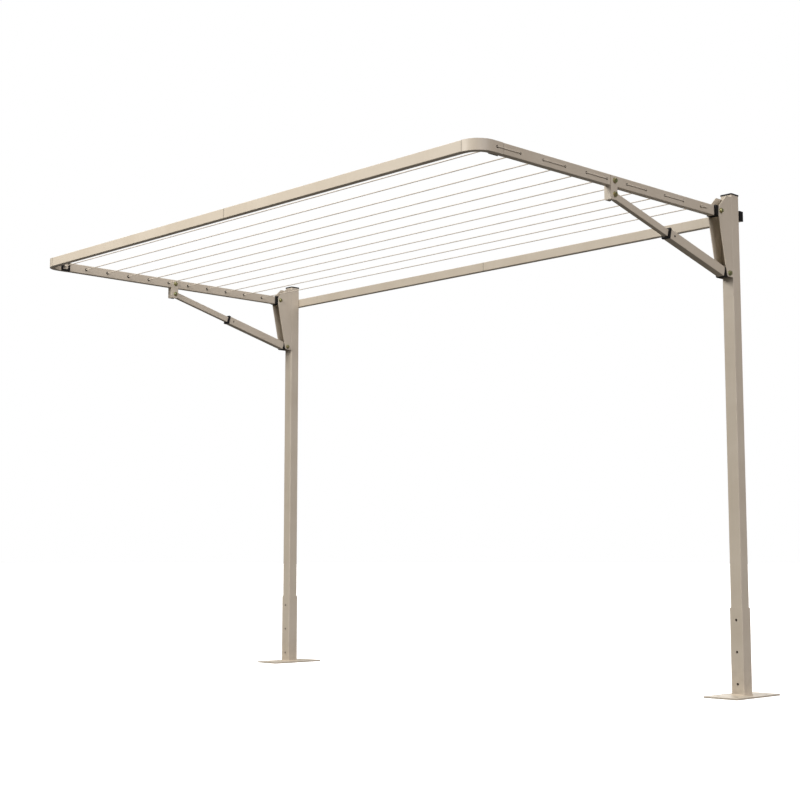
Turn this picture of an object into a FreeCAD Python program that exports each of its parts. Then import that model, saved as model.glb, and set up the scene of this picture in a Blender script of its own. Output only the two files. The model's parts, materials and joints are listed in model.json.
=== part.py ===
"""Folding-frame clothesline on two plated ground posts.

Origin on the ground midway between the posts, +X to the right, +Y to the back
and +Z up. The line frame is open and level. All sizes are millimetres.
"""
import FreeCAD, Part
import math
import os
import Sketcher
from FreeCAD import Placement, Rotation, Vector

SIDES = {"left": -1, "right": 1}
X_AXIS = Vector(1, 0, 0)
Y_AXIS = Vector(0, 1, 0)
Z_AXIS = Vector(0, 0, 1)

DIMENSIONS = {
    # layout
    "post_spacing": 2700,
    "frame_reach": 1456,
    "post_top": 1951,
    "pivot_height": 1868,
    "pivot_reach": 100,
    "foot_reach": 50,
    "foot_drop": 240,
    "yoke_reach": 755,
    "yoke_drop": 50,
    # frame tube
    "tube_width": 25,
    "tube_height": 40,
    "tube_wall": 2,
    "tube_round": 2.5,
    "bend_radius": 62.5,
    "elbow_leg": 109,
    "seam_gap": 2,
    "arm_seam": 1,
    "clip_sheet": 1.6,
    "clip_rim": 10,
    "clip_start": 64,
    # ground fixing
    "plate_width": 150,
    "plate_length": 300,
    "plate_thickness": 6,
    "plate_round": 8,
    "anchor_gauge": 80,
    "anchor_pitch": 200,
    "anchor_hole": 14,
    "socket_size": 56,
    "socket_wall": 2.5,
    "socket_top": 336,
    "lock_hole": 10,
    "lock_first": 42,
    "lock_pitch": 120.5,
    # posts
    "post_size": 50,
    "post_wall": 2,
    "post_round": 3,
    "cap_thickness": 5,
    # post brackets
    "bracket_steel": 3,
    "bracket_drop": 12,
    "bracket_height": 320,
    "bracket_top_reach": 59,
    "bracket_shoulder": 48,
    "bracket_nose_top": 60,
    "bracket_nose_end": 88,
    "bracket_nose_reach": 114,
    "bracket_foot_reach": 64,
    "bracket_round": 10,
    # yokes
    "yoke_steel": 2.5,
    "yoke_length": 38,
    "yoke_front": 22.5,
    "yoke_above": 17,
    "yoke_below": 20,
    "yoke_lip": 14,
    # struts
    "strut_width": 32,
    "strut_height": 38,
    "strut_mouth": 384,
    "rod_width": 20,
    "rod_height": 28,
    "rod_wall": 1.5,
    "rod_length": 375,
    "rod_tip": 14,
    "collar_lip": 10,
    "collar_proud": 1,
    "collar_depth": 20,
    "latch_start": 26,
    "latch_hole": 8,
    "knuckle_width": 43.4,
    "arm_neck": 28,
    "foot_neck": 22,
    # fasteners
    "bolt_diameter": 10,
    "washer_diameter": 21,
    "washer_thickness": 2,
    "hex_flats": 16,
    "head_height": 6.4,
    "running_gap": 0.05,
    # cord
    "cord_diameter": 4,
    "cord_bend": 4,
    "line_count": 11,
    "line_first": 80,
    "line_pitch": 116,
    "line_hole": 10,
    "knot_length": 8.5,
    "knot_size": 12,
    "knot_round": 3,
    "tail_length": 32,
    # plastic plugs
    "insert_length": 66,
    "insert_lead": 5,
    "end_plug": 16,
    "plug_depth": 22,
    "foot_insert": 8,
    "slide_cap": 6,
    "foot_nose": 27,
    # play between neighbouring parts
    "plug_play": 0.2,
    "cap_play": 0.4,
    "insert_play": 1,
    "rib_inset": 0.8,
    "yoke_play": 0.1,
    "slide_play": 0.6,
    "liner_play": 0.1,
    "bolt_play": 1,
    "cord_gap": 0.3,
    "cord_lift": 1.5,
}

DOC = FreeCAD.newDocument("FoldingClothesline")
SHEET = DOC.addObject("Spreadsheet::Sheet", "Sizes")
for row, (alias, value) in enumerate(DIMENSIONS.items(), start=1):
    SHEET.set(f"A{row}", alias)
    SHEET.set(f"B{row}", str(value))
    SHEET.setAlias(f"B{row}", alias)
DOC.recompute()

NODES = []


def size(expression):
    """The number that a sheet expression gives, such as "tube_width / 2"."""
    result = SHEET.evalExpression(expression)
    return float(getattr(result, "Value", result))


def bound(expression):
    """The expression with each alias prefixed by the sheet's name."""
    words = expression.split(" ")
    return " ".join(f"Sizes.{word}" if word in DIMENSIONS else word for word in words)


def bind(feature, prop, expression):
    feature.setExpression(prop, bound(expression))


# ---------------------------------------------------------------- bodies


def new_body(label):
    body = DOC.addObject("PartDesign::Body", label)
    body.Label = label
    NODES.append(body)
    return body


def new_sketch(body, role, name):
    plane = next(f for f in body.Origin.OriginFeatures if f.Role == role)
    sketch = body.newObject("Sketcher::SketchObject", name)
    sketch.AttachmentSupport = (plane, [""])
    sketch.MapMode = "FlatFace"
    return sketch


def hold(sketch, kind, geometry, point, expression):
    """One named distance from the sketch's origin, bound to the sheet."""
    constraint = Sketcher.Constraint(kind, geometry, point, size(expression))
    index = sketch.addConstraint(constraint)
    sketch.setExpression(f"Constraints[{index}]", bound(expression))


def add_outline(sketch, corners):
    """Closed polygon whose corner coordinates are sheet expressions."""
    first = sketch.GeometryCount
    count = len(corners)
    points = [Vector(size(x), size(y), 0) for x, y in corners]
    for i in range(count):
        sketch.addGeometry(Part.LineSegment(points[i], points[(i + 1) % count]))
    for i in range(count):
        following = first + (i + 1) % count
        sketch.addConstraint(Sketcher.Constraint("Coincident", first + i, 2, following, 1))
    for i, (x, y) in enumerate(corners):
        hold(sketch, "DistanceX", first + i, 1, x)
        hold(sketch, "DistanceY", first + i, 1, y)


def add_rectangle(sketch, width, height):
    """Rectangle centred on the sketch's origin."""
    left, right = f"0 - ( {width} ) / 2", f"( {width} ) / 2"
    low, high = f"0 - ( {height} ) / 2", f"( {height} ) / 2"
    add_outline(sketch, [(left, low), (right, low), (right, high), (left, high)])


def add_circle(sketch, x, y, diameter):
    centre = Vector(size(x), size(y), 0)
    index = sketch.addGeometry(Part.Circle(centre, Z_AXIS, size(diameter) / 2))
    hold(sketch, "DistanceX", index, 3, x)
    hold(sketch, "DistanceY", index, 3, y)
    constraint = sketch.addConstraint(
        Sketcher.Constraint("Diameter", index, size(diameter)))
    sketch.setExpression(f"Constraints[{constraint}]", bound(diameter))


def pad(body, sketch, length):
    feature = body.newObject("PartDesign::Pad", "Pad")
    feature.Profile = sketch
    bind(feature, "Length", length)
    DOC.recompute()
    return feature


def cut_through(body, sketch):
    """Cut the sketch right through the body, both ways from its plane."""
    before = body.Shape.Volume
    feature = body.newObject("PartDesign::Pocket", "Cut")
    feature.Profile = sketch
    feature.Type = 1
    feature.Midplane = True
    DOC.recompute()
    if not feature.Shape.Volume < before - 1e-3:
        raise RuntimeError(f"{body.Label}: a cut removed nothing")
    return feature


def round_edges(body, radius, direction, keep):
    """Fillet the straight edges along direction whose midpoint passes keep."""
    base = body.Tip
    names = []
    for number, edge in enumerate(base.Shape.Edges, start=1):
        if not isinstance(edge.Curve, Part.Line):
            continue
        along = edge.Curve.Direction.cross(direction).Length < 1e-6
        if along and keep(edge.CenterOfMass):
            names.append(f"Edge{number}")
    feature = body.newObject("PartDesign::Fillet", "Rounding")
    feature.Base = (base, names)
    bind(feature, "Radius", radius)
    DOC.recompute()
    return feature


def repeat(body, feature, axis_role, length, count):
    """A row of copies of feature along one of the body's own axes."""
    axis = next(f for f in body.Origin.OriginFeatures if f.Role == axis_role)
    pattern = body.newObject("PartDesign::LinearPattern", "Row")
    pattern.Originals = [feature]
    pattern.Direction = (axis, [""])
    bind(pattern, "Length", length)
    bind(pattern, "Occurrences", count)
    body.Tip = pattern
    DOC.recompute()
    return pattern


def corner_edges(half_a, half_b, pick):
    """A test for edges that run along the corners of a centred rectangle."""
    def at_corner(point):
        a, b = pick(point)
        return abs(abs(a) - half_a) < 0.01 and abs(abs(b) - half_b) < 0.01
    return at_corner


def tube(label, role, width, height, wall, rounding, length):
    """Hollow rectangular tube padded from one of its body's origin planes."""
    body = new_body(label)
    section = new_sketch(body, role, "Section")
    add_rectangle(section, width, height)
    add_rectangle(section, f"{width} - 2 * {wall}", f"{height} - 2 * {wall}")
    pad(body, section, length)
    picks = {
        "XY_Plane": (Z_AXIS, lambda p: (p.x, p.y)),
        "XZ_Plane": (Y_AXIS, lambda p: (p.x, p.z)),
        "YZ_Plane": (X_AXIS, lambda p: (p.y, p.z)),
    }
    direction, pick = picks[role]
    keep = corner_edges(size(width) / 2, size(height) / 2, pick)
    round_edges(body, rounding, direction, keep)
    return body


# ---------------------------------------------------------------- primitives


def box(name, x, y, z, corner):
    """Block whose sizes are expressions, with its low corner at a point."""
    block = DOC.addObject("Part::Box", name)
    bind(block, "Length", x)
    bind(block, "Width", y)
    bind(block, "Height", z)
    block.Placement = Placement(corner, Rotation())
    return block


def centred_box(name, x, y, z, centre):
    corner = centre - Vector(size(x), size(y), size(z)) / 2
    return box(name, x, y, z, corner)


def rod_along_x(name, diameter, start, length):
    """Cylinder about the X axis from x = start."""
    rod = DOC.addObject("Part::Cylinder", name)
    bind(rod, "Radius", f"( {diameter} ) / 2")
    bind(rod, "Height", length)
    rod.Placement = Placement(Vector(start, 0, 0), Rotation(Z_AXIS, X_AXIS))
    return rod


def hexagon_along_x(name, start):
    head = DOC.addObject("Part::Prism", name)
    head.Polygon = 6
    head.setExpression("Circumradius", "Sizes.hex_flats / 2 / cos(30 deg)")
    bind(head, "Height", "head_height")
    head.Placement = Placement(Vector(start, 0, 0), Rotation(Z_AXIS, X_AXIS))
    return head


def fuse(label, pieces):
    joined = DOC.addObject("Part::MultiFuse", label)
    joined.Label = label
    joined.Shapes = pieces
    return joined


def cut(label, base, tool):
    result = DOC.addObject("Part::Cut", label)
    result.Label = label
    result.Base = base
    result.Tool = tool
    return result


def place(node, position, rotation=None):
    node.Placement = Placement(position, rotation or Rotation())
    return node


# ---------------------------------------------------------------- ground fixing


def base_plate(label):
    body = new_body(label)
    outline = new_sketch(body, "XY_Plane", "Outline")
    add_rectangle(outline, "plate_width", "plate_length")
    pad(body, outline, "plate_thickness")
    half_width, half_length = size("plate_width") / 2, size("plate_length") / 2
    keep = corner_edges(half_width, half_length, lambda p: (p.x, p.y))
    round_edges(body, "plate_round", Z_AXIS, keep)
    anchors = new_sketch(body, "XY_Plane", "Anchors")
    for x in ("anchor_gauge / 2", "0 - anchor_gauge / 2"):
        for y in ("anchor_pitch / 2", "0 - anchor_pitch / 2"):
            add_circle(anchors, x, y, "anchor_hole")
    cut_through(body, anchors)
    return body


def base_socket(label):
    """Square tube with three holes in its front wall."""
    length = "socket_top - plate_thickness"
    body = tube(label, "XY_Plane", "socket_size", "socket_size", "socket_wall",
                "post_round", length)
    drill_front(body, ["lock_first", "lock_first + lock_pitch",
                       "lock_first + 2 * lock_pitch"])
    return body


def drill_front(body, heights):
    """Round holes through the front wall only, at heights above its lower end."""
    before = body.Shape.Volume
    sketch = new_sketch(body, "XZ_Plane", "FrontHoles")
    for height in heights:
        add_circle(sketch, "0", height, "lock_hole")
    feature = body.newObject("PartDesign::Pocket", "FrontCut")
    feature.Profile = sketch
    feature.Type = 1
    feature.Reversed = True
    DOC.recompute()
    if feature.Shape.CenterOfGravity.y < 0:
        feature.Reversed = False
        DOC.recompute()
    if not feature.Shape.Volume < before - 1e-3:
        raise RuntimeError(f"{body.Label}: the front holes removed nothing")
    return feature


def post(label):
    """Upright tube that stands in its socket, with the matching front holes."""
    length = "post_top - cap_thickness - plate_thickness"
    body = tube(label, "XY_Plane", "post_size", "post_size", "post_wall",
                "post_round", length)
    drill_front(body, ["lock_first", "lock_first + lock_pitch",
                       "lock_first + 2 * lock_pitch"])
    fixing = new_sketch(body, "XZ_Plane", "BracketFixing")
    bracket_top = "post_top - plate_thickness - cap_thickness - bracket_drop"
    add_circle(fixing, "0", f"{bracket_top} - bracket_shoulder / 3", "bolt_diameter + bolt_play")
    add_circle(fixing, "0", "pivot_height - plate_thickness", "bolt_diameter + bolt_play")
    cut_through(body, fixing)
    return body


def post_cap(label):
    """Flat plastic cap with a plug that fills the mouth of the post."""
    flange = DOC.addObject("Part::Box", label + "_block")
    bind(flange, "Length", "post_size")
    bind(flange, "Width", "post_size")
    bind(flange, "Height", "cap_thickness")
    flange.Placement = Placement(Vector(-size("post_size") / 2, -size("post_size") / 2, 0),
                                 Rotation())
    softened = DOC.addObject("Part::Fillet", label + "_flange")
    softened.Base = flange
    DOC.recompute()
    upright = [n for n, e in enumerate(flange.Shape.Edges, start=1)
               if e.Curve.Direction.cross(Z_AXIS).Length < 1e-6]
    softened.Edges = [(n, size("post_round"), size("post_round")) for n in upright]
    bore = "post_size - 2 * post_wall - cap_play"
    depth = "cap_thickness * 2"
    plug = centred_box(label + "_plug", bore, bore, depth,
                       Vector(0, 0, -size(depth) / 2))
    cap = fuse(label, [softened, plug])
    NODES.append(cap)
    return cap


# ---------------------------------------------------------------- post brackets


def post_bracket(label):
    """Folded steel channel with its web against the post's front face.

    Its own origin is on the post's axis at the bracket's lower edge.
    """
    body = new_body(label)
    plan = new_sketch(body, "XY_Plane", "Plan")
    inner, outer = "post_size / 2 - bracket_steel", "post_size / 2"
    minus_inner, minus_outer = f"0 - ( {inner} )", f"0 - ( {outer} )"
    front = "0 - bracket_nose_reach"
    back, web = minus_outer, "0 - ( post_size / 2 + bracket_steel )"
    add_outline(plan, [
        (minus_outer, front), (minus_inner, front), (minus_inner, web), (inner, web),
        (inner, front), (outer, front), (outer, back), (minus_outer, back)])
    pad(body, plan, "bracket_height")

    profile = new_sketch(body, "YZ_Plane", "ProfileWaste")
    far = "0 - 2 * bracket_nose_reach"
    over = "bracket_height + bracket_steel"
    top = "0 - bracket_top_reach"
    foot = "0 - bracket_foot_reach"
    add_outline(profile, [
        (far, "0 - bracket_steel"), (foot, "0 - bracket_steel"), (foot, "0"),
        (front, "bracket_height - bracket_nose_end"),
        (front, "bracket_height - bracket_nose_top"),
        (f"{front} + bracket_steel", "bracket_height - bracket_shoulder"),
        (top, "bracket_height"), (top, over), (far, over)])
    cut_through(body, profile)
    foot_y, top_y = -size("bracket_foot_reach"), -size("bracket_top_reach")
    high = size("bracket_height")

    def at_corner(point):
        at_foot = abs(point.y - foot_y) < 0.5 and point.z < 0.5
        at_top = abs(point.y - top_y) < 0.5 and point.z > high - 0.5
        return at_foot or at_top

    round_edges(body, "bracket_round", X_AXIS, at_corner)
    holes = new_sketch(body, "YZ_Plane", "PivotHoles")
    pivot = "pivot_height - post_top + cap_thickness + bracket_drop + bracket_height"
    bolt = "bolt_diameter + 2 * running_gap"
    add_circle(holes, "0 - pivot_reach", pivot, bolt)
    add_circle(holes, "0 - foot_reach", f"{pivot} - foot_drop", bolt)
    cut_through(body, holes)
    fixing = new_sketch(body, "XZ_Plane", "Fixing")
    add_circle(fixing, "0", "bracket_height - bracket_shoulder / 3", "bolt_diameter + bolt_play")
    add_circle(fixing, "0", pivot, "bolt_diameter + bolt_play")
    cut_through(body, fixing)
    return body


def cross_bolt(label, half_grip):
    """Hex bolt, washers and nut along X, gripping from -half_grip to +half_grip."""
    grip = size(half_grip)
    washer = size("washer_thickness")
    head = size("head_height")
    shank = rod_along_x(label + "_shank", "bolt_diameter", -grip - washer - head,
                        f"2 * ( {half_grip} + washer_thickness + head_height )")
    pieces = [shank]
    for name, at_washer, at_head in (("near", grip, grip + washer),
                                     ("far", -grip - washer, -grip - washer - head)):
        pieces.append(rod_along_x(f"{label}_{name}_washer", "washer_diameter",
                                  at_washer, "washer_thickness"))
        pieces.append(hexagon_along_x(f"{label}_{name}_hex", at_head))
    bolt = fuse(label, pieces)
    NODES.append(bolt)
    return bolt


def stub_bolt(label):
    """Head, washer and the short length of shank inside one bracket cheek.

    The washer's inner face is at x = 0 and the shank runs to minus X.
    """
    washer = rod_along_x(label + "_washer", "washer_diameter", 0, "washer_thickness")
    head = hexagon_along_x(label + "_hex", size("washer_thickness"))
    shank = rod_along_x(label + "_shank", "bolt_diameter", -size("bracket_steel"),
                        "bracket_steel + washer_thickness")
    bolt = fuse(label, [washer, head, shank])
    NODES.append(bolt)
    return bolt


# ---------------------------------------------------------------- line frame


def arm(label):
    """Side tube from the pivot plug forward to the elbow, along minus Y.

    Its own origin is on its centreline at the rear end.
    """
    rear = "pivot_reach + arm_neck"
    length = f"frame_reach - elbow_leg - arm_seam - ( {rear} )"
    body = tube(label, "XZ_Plane", "tube_width", "tube_height", "tube_wall",
                "tube_round", length)
    first_hole = new_sketch(body, "YZ_Plane", "SecondLineHole")
    second_line = f"{rear} - frame_reach + line_first + line_pitch"
    add_circle(first_hole, second_line, "0", "line_hole")
    row = cut_through(body, first_hole)
    repeat(body, row, "Y_Axis", "( line_count - 2 ) * line_pitch", "line_count - 1")
    yoke_hole = new_sketch(body, "YZ_Plane", "YokeHole")
    add_circle(yoke_hole, f"{rear} - yoke_reach", "0", "bolt_diameter + 2 * running_gap")
    cut_through(body, yoke_hole)
    return body


def knuckle(label, neck, height, nose, insert, bore_width, bore_height):
    """Plastic end of a tube: a block with a round nose about X and a bolt bore.

    Its own origin is on the bolt's axis and the tube starts at y = -neck.
    """
    width, reach = size("knuckle_width"), size(neck)
    barrel = rod_along_x(label + "_barrel", nose, -width / 2, "knuckle_width")
    length = f"{neck} - ( {height} - {nose} )"
    block = centred_box(label + "_block", "knuckle_width", length, height,
                        Vector(0, size(length) / 2 - reach, 0))
    tongue = centred_box(label + "_tongue", bore_width, insert, bore_height,
                         Vector(0, -reach - size(insert) / 2, 0))
    solid = fuse(label + "_solid", [barrel, block, tongue])
    bore = rod_along_x(label + "_bore", "bolt_diameter + 2 * running_gap", -width,
                       "2 * knuckle_width")
    node = cut(label, solid, bore)
    NODES.append(node)
    return node


def corner_elbow(label):
    """Bent tube: the front bar's centreline is y = 0 and the arm's is x = 0."""
    body = new_body(label)
    path = new_sketch(body, "XY_Plane", "Path")
    bend = size("bend_radius")
    leg = size("elbow_leg")
    centre = Vector(-bend, bend, 0)
    arc = Part.ArcOfCircle(Part.Circle(centre, Z_AXIS, bend), -math.pi / 2, 0)
    path.addGeometry(arc)
    path.addGeometry(Part.LineSegment(Vector(0, bend, 0), Vector(0, leg, 0)))
    path.addConstraint(Sketcher.Constraint("Tangent", 0, 2, 1, 1))
    path.addConstraint(Sketcher.Constraint("Vertical", 1))
    hold(path, "DistanceX", 0, 1, "0 - bend_radius")
    hold(path, "DistanceY", 0, 1, "0")
    hold(path, "DistanceX", 1, 2, "0")
    hold(path, "DistanceY", 1, 2, "elbow_leg")
    hold(path, "DistanceY", 1, 1, "bend_radius")
    section = new_sketch(body, "XZ_Plane", "Section")
    section.AttachmentOffset = Placement(Vector(0, 0, -leg), Rotation())
    section.setExpression(".AttachmentOffset.Base.z", "-Sizes.elbow_leg")
    add_rectangle(section, "tube_width", "tube_height")
    add_rectangle(section, "tube_width - 2 * tube_wall", "tube_height - 2 * tube_wall")
    DOC.recompute()
    pipe = body.newObject("PartDesign::AdditivePipe", "Bend")
    pipe.Profile = section
    pipe.Spine = (path, ["Edge1", "Edge2"])
    DOC.recompute()
    line_hole = new_sketch(body, "YZ_Plane", "FirstLineHole")
    add_circle(line_hole, "line_first", "0", "line_hole")
    cut_through(body, line_hole)
    return body


def corner_joiner(label, inner_way):
    """Plastic clip round the inner lower edge of an elbow's straight leg.

    Its own origin is the elbow's, and inner_way is the sign of X towards the lines.
    """
    half_width, low = size("tube_width") / 2, -size("tube_height / 2 + clip_sheet")
    run = "elbow_leg + arm_seam - clip_start"
    start, end = size("clip_start"), size("elbow_leg + arm_seam")
    wall_x = half_width if inner_way > 0 else -half_width - size("clip_sheet")
    pieces = [box(label + "_lower", "clip_sheet", run, "clip_rim",
                  Vector(wall_x, start, low))]
    for name, y in (("front", start), ("rear", end - size("clip_rim"))):
        pieces.append(box(f"{label}_{name}", "clip_sheet", "clip_rim",
                          "tube_height + clip_sheet", Vector(wall_x, y, low)))
    seam_y = size("elbow_leg + arm_seam / 2")
    sleeve = centred_box(label + "_sleeve", "tube_width - 2 * tube_wall - plug_play",
                         "2 * plug_depth", "tube_height - 2 * tube_wall - plug_play",
                         Vector(0, seam_y, 0))
    inset = inner_way * size("rib_inset") / 2
    web = centred_box(label + "_web", "tube_width - rib_inset", "arm_seam",
                      "tube_height - rib_inset", Vector(inset, seam_y, 0))
    clip = fuse(label, pieces + [sleeve, web])
    NODES.append(clip)
    return clip


def corner_insert(label):
    """Plastic spigot that lines a front bar's end up with its elbow.

    Its own origin is in the seam and it runs to minus X into the bar.
    """
    into_elbow = size("insert_lead")
    spigot = centred_box(label + "_spigot", "insert_length",
                         "tube_width - 2 * tube_wall - insert_play",
                         "tube_height - 2 * tube_wall - insert_play",
                         Vector(into_elbow - size("insert_length") / 2, 0, 0))
    rib = centred_box(label + "_rib", "seam_gap", "tube_width - rib_inset",
                      "tube_height - rib_inset", Vector(-size("seam_gap") / 2, 0, 0))
    insert = fuse(label, [spigot, rib])
    NODES.append(insert)
    return insert


def bar_half(label, inner_end, outer_end):
    """Half of a cross bar, along plus X from inner_end to outer_end."""
    return tube(label, "YZ_Plane", "tube_width", "tube_height", "tube_wall",
                "tube_round", f"{outer_end} - ( {inner_end} )")


def rear_bar_half(label):
    """Half of the rear bar, with the hole for its bolt on the post's axis."""
    body = bar_half(label, "seam_gap / 2",
                    "post_spacing / 2 + post_size / 2 + bracket_steel - 2 * seam_gap")
    fixing = new_sketch(body, "XZ_Plane", "Fixing")
    add_circle(fixing, "post_spacing / 2 - seam_gap / 2", "0", "bolt_diameter + bolt_play")
    cut_through(body, fixing)
    return body


def bar_joiner(label):
    """Plastic spigot that lines up two bar ends, with a thin rib between them."""
    bore_width = "tube_width - 2 * tube_wall - plug_play"
    bore_height = "tube_height - 2 * tube_wall - plug_play"
    spigot = centred_box(label + "_spigot", "4 * plug_depth", bore_width, bore_height,
                         Vector())
    rib = centred_box(label + "_rib", "seam_gap", "tube_width - rib_inset",
                      "tube_height - rib_inset", Vector())
    joiner = fuse(label, [spigot, rib])
    NODES.append(joiner)
    return joiner


def end_cap(label):
    """Plastic cap on the open end of a bar, proud along plus X."""
    flange = centred_box(label + "_flange", "2 * seam_gap", "tube_width", "tube_height",
                         Vector(size("seam_gap"), 0, 0))
    plug = centred_box(label + "_plug", "end_plug", "tube_width - 2 * tube_wall - plug_play",
                       "tube_height - 2 * tube_wall - plug_play",
                       Vector(-size("end_plug") / 2, 0, 0))
    cap = fuse(label, [flange, plug])
    NODES.append(cap)
    return cap


def yoke(label):
    """Folded channel that hangs under an arm; its own origin is the lower pin."""
    body = new_body(label)
    inner, outer = "tube_width / 2 + yoke_play", "tube_width / 2 + yoke_play + yoke_steel"
    front, web = "0 - yoke_front", "0 - yoke_front + yoke_steel"
    rear = "yoke_length - yoke_front"
    top = "yoke_drop + yoke_above"
    plan = new_sketch(body, "XY_Plane", "Plan")
    add_outline(plan, [
        (f"0 - ( {outer} )", front), (outer, front), (outer, rear), (inner, rear),
        (inner, web), (f"0 - ( {inner} )", web), (f"0 - ( {inner} )", rear),
        (f"0 - ( {outer} )", rear)])
    plan.AttachmentOffset = Placement(Vector(0, 0, -size("yoke_below")), Rotation())
    plan.setExpression(".AttachmentOffset.Base.z", "-Sizes.yoke_below")
    pad(body, plan, f"yoke_below + {top}")
    lip = new_sketch(body, "XY_Plane", "Lip")
    lip_end = f"{front} + yoke_lip"
    add_outline(lip, [
        (f"0 - ( {inner} )", web), (inner, web), (inner, lip_end),
        (f"0 - ( {inner} )", lip_end)])
    lip.AttachmentOffset = plan.AttachmentOffset
    lip.setExpression(".AttachmentOffset.Base.z", "-Sizes.yoke_below")
    pad(body, lip, "yoke_steel")
    window = new_sketch(body, "XZ_Plane", "ArmWindow")
    arm_under = "yoke_drop - tube_height / 2 - yoke_play"
    add_outline(window, [
        (f"0 - ( {inner} )", arm_under), (inner, arm_under),
        (inner, f"{top} + 1"), (f"0 - ( {inner} )", f"{top} + 1")])
    cut_through(body, window)
    holes = new_sketch(body, "YZ_Plane", "Holes")
    add_circle(holes, "0", "0", "bolt_diameter + 2 * running_gap")
    add_circle(holes, "0", "yoke_drop", "bolt_diameter + 2 * running_gap")
    cut_through(body, holes)
    rear_y, low = size(rear), -size("yoke_below")

    def at_rear_foot(point):
        return abs(point.y - rear_y) < 0.5 and abs(point.z - low) < 0.5

    round_edges(body, "yoke_below / 2", X_AXIS, at_rear_foot)
    return body


def yoke_pin(label):
    """Through bolt with shoulder washers that centre the strut rod."""
    half_grip = "tube_width / 2 + yoke_play + yoke_steel"
    bolt = cross_bolt(label + "_bolt", half_grip)
    NODES.remove(bolt)
    gap_start = size("( rod_width + slide_play ) / 2")
    thickness = "( tube_width - rod_width - slide_play ) / 2"
    shoulders = [
        rod_along_x(label + "_right_shoulder", "2 * bolt_diameter - 2", gap_start, thickness),
        rod_along_x(label + "_left_shoulder", "2 * bolt_diameter - 2",
                    -gap_start - size(thickness), thickness),
    ]
    pin = fuse(label, [bolt] + shoulders)
    NODES.append(pin)
    return pin


# ---------------------------------------------------------------- struts


def strut_outer_tube(label):
    """Outer strut tube along minus Y; its own origin is the foot pivot."""
    body = new_body(label)
    section = new_sketch(body, "XZ_Plane", "Section")
    add_rectangle(section, "strut_width", "strut_height")
    add_rectangle(section, "strut_width - 2 * tube_wall", "strut_height - 2 * tube_wall")
    section.AttachmentOffset = Placement(Vector(0, 0, size("foot_neck")), Rotation())
    section.setExpression(".AttachmentOffset.Base.z", "Sizes.foot_neck")
    pad(body, section, "strut_mouth - foot_neck")
    keep = corner_edges(size("strut_width") / 2, size("strut_height") / 2,
                        lambda p: (p.x, p.z))
    round_edges(body, "tube_round", Y_AXIS, keep)
    latch = new_sketch(body, "YZ_Plane", "LatchHole")
    add_circle(latch, "0 - strut_mouth + latch_start", "0", "latch_hole")
    cut_through(body, latch)
    return body


def strut_guide_collar(label):
    """Plastic lip and liner in the mouth of the outer tube, with a rod opening."""
    mouth, lip, depth = size("strut_mouth"), size("collar_lip"), size("collar_depth")
    flange = centred_box(label + "_lip", "strut_width + 2 * collar_proud", "collar_lip",
                         "strut_height + 2 * collar_proud",
                         Vector(0, -mouth - lip / 2, 0))
    liner = centred_box(label + "_liner", "strut_width - 2 * tube_wall - liner_play",
                        "collar_depth", "strut_height - 2 * tube_wall - liner_play",
                        Vector(0, -mouth + depth / 2, 0))
    solid = fuse(label + "_solid", [flange, liner])
    opening = centred_box(label + "_opening", "rod_width + slide_play",
                          "4 * ( collar_lip + collar_depth )", "rod_height + slide_play",
                          Vector(0, -mouth, 0))
    collar = cut(label, solid, opening)
    NODES.append(collar)
    return collar


def strut_rod(label, pin_distance):
    """Inner strut tube along minus Y; its own origin is the foot pivot."""
    body = new_body(label)
    section = new_sketch(body, "XZ_Plane", "Section")
    add_rectangle(section, "rod_width", "rod_height")
    add_rectangle(section, "rod_width - 2 * rod_wall", "rod_height - 2 * rod_wall")
    start = pin_distance - size("rod_length")
    section.AttachmentOffset = Placement(Vector(0, 0, start), Rotation())
    pad(body, section, "rod_length + rod_tip")
    keep = corner_edges(size("rod_width") / 2, size("rod_height") / 2,
                        lambda p: (p.x, p.z))
    round_edges(body, "tube_round", Y_AXIS, keep)
    eye = new_sketch(body, "YZ_Plane", "PinHole")
    centre = Vector(-pin_distance, 0, 0)
    index = eye.addGeometry(Part.Circle(centre, Z_AXIS, size("bolt_diameter") / 2))
    eye.addConstraint(Sketcher.Constraint("DistanceX", index, 3, -pin_distance))
    eye.addConstraint(Sketcher.Constraint("DistanceY", index, 3, 0))
    bore = eye.addConstraint(Sketcher.Constraint("Diameter", index, size("bolt_diameter")))
    eye.setExpression(f"Constraints[{bore}]", bound("bolt_diameter + 2 * running_gap"))
    cut_through(body, eye)
    return body


def rod_slide_cap(label, pin_distance):
    """Plastic cap on the rod's inner end that slides in the outer tube."""
    start = pin_distance - size("rod_length")
    cap = centred_box(label, "strut_width - 2 * tube_wall - slide_play", "slide_cap",
                      "strut_height - 2 * tube_wall - slide_play",
                      Vector(0, -start + size("slide_cap") / 2, 0))
    cap.Label = label
    NODES.append(cap)
    return cap


# ---------------------------------------------------------------- clothes line


def rounded_route(points, radius):
    """A wire of straight runs between points, joined by tangent arcs."""
    edges = []
    radii = []
    start = points[0]
    for before, corner, after in zip(points, points[1:], points[2:]):
        way_in = (before - corner).normalize()
        way_out = (after - corner).normalize()
        half_turn = (math.pi - way_in.getAngle(way_out)) / 2
        setback = radius * math.tan(half_turn)
        entry = corner + way_in * setback
        leave = corner + way_out * setback
        middle_way = (way_in + way_out).normalize()
        middle = corner + middle_way * (radius / math.cos(half_turn) - radius)
        edges.append(Part.LineSegment(start, entry).toShape())
        edges.append(Part.Arc(entry, middle, leave).toShape())
        radii.append(radius)
        start = leave
    edges.append(Part.LineSegment(start, points[-1]).toShape())
    return Part.Wire(edges), radii


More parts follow.
